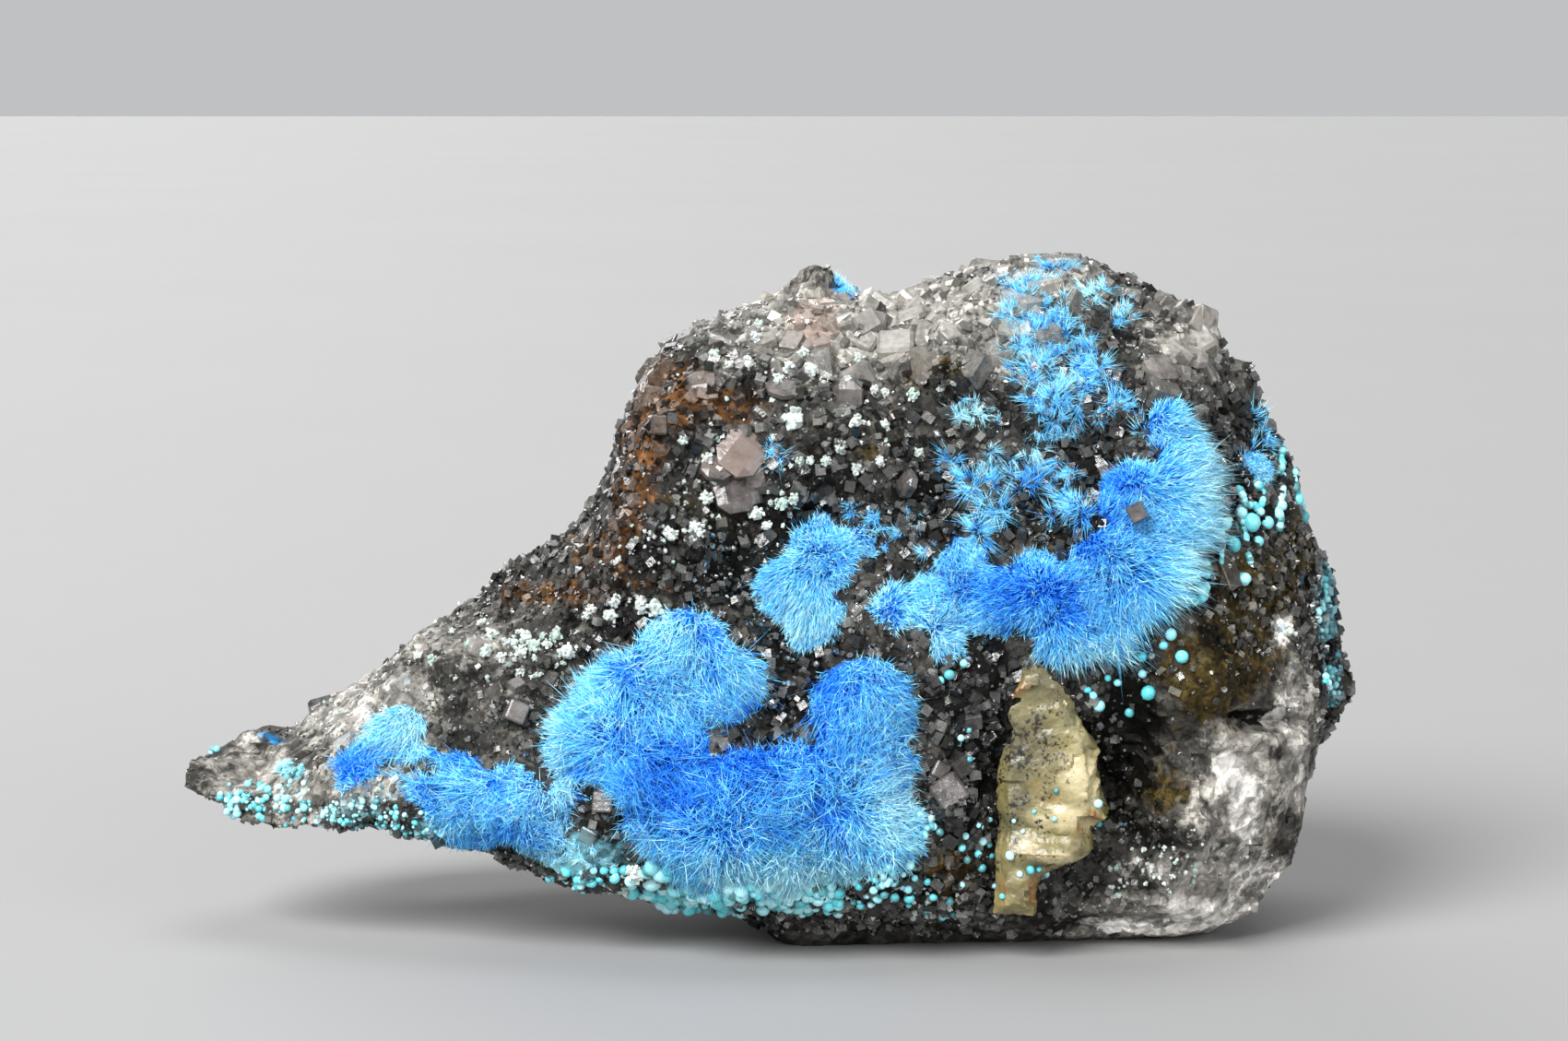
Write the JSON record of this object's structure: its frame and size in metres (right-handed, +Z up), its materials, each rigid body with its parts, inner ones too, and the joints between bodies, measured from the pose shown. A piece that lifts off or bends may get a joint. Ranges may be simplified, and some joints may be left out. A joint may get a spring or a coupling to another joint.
{
  "type": "blue needle mineral specimen on quartz matrix",
  "caption": "Hand specimen of drusy quartz rock with mats and sprays of fine blue needle crystals, strings of turquoise beads and one straw-yellow blade crystal, resting on a flat underside.",
  "frame": {"origin": "on the resting plane, under the middle of the specimen's bounding box", "axes": "+X along the specimen from its thin tail to its thick end, +Y from the needle-covered face to the back, +Z up"},
  "size_m": [0.071, 0.0346, 0.0405],
  "materials": {
    "rock": "drusy quartz with grey glassy crystals, brown iron staining and small white balls",
    "blue_needles": "silky fine needles, deep blue at the roots and pale at the tips",
    "turquoise": "waxy botryoidal beads",
    "yellow_blade": "translucent straw yellow with dark specks and rusty stains"
  },
  "bodies": {
    "root": {"matrix": "rock", "yellow_blade": "yellow_blade", "blue_mat_lower": "blue_needles", "blue_mat_left": "blue_needles", "blue_mat_right": "blue_needles", "blue_tuft_centre": "blue_needles", "blue_spray_top": "blue_needles", "blue_spray_middle": "blue_needles", "blue_tuft_crest": "blue_needles", "blue_tuft_edge": "blue_needles", "blue_tuft_small": "blue_needles", "blue_mat_spur": "blue_needles", "turquoise_beads_right": "turquoise", "turquoise_crust_lower": "turquoise", "turquoise_crust_tail": "turquoise", "turquoise_crust_bump": "turquoise"}
  },
  "joints": []
}
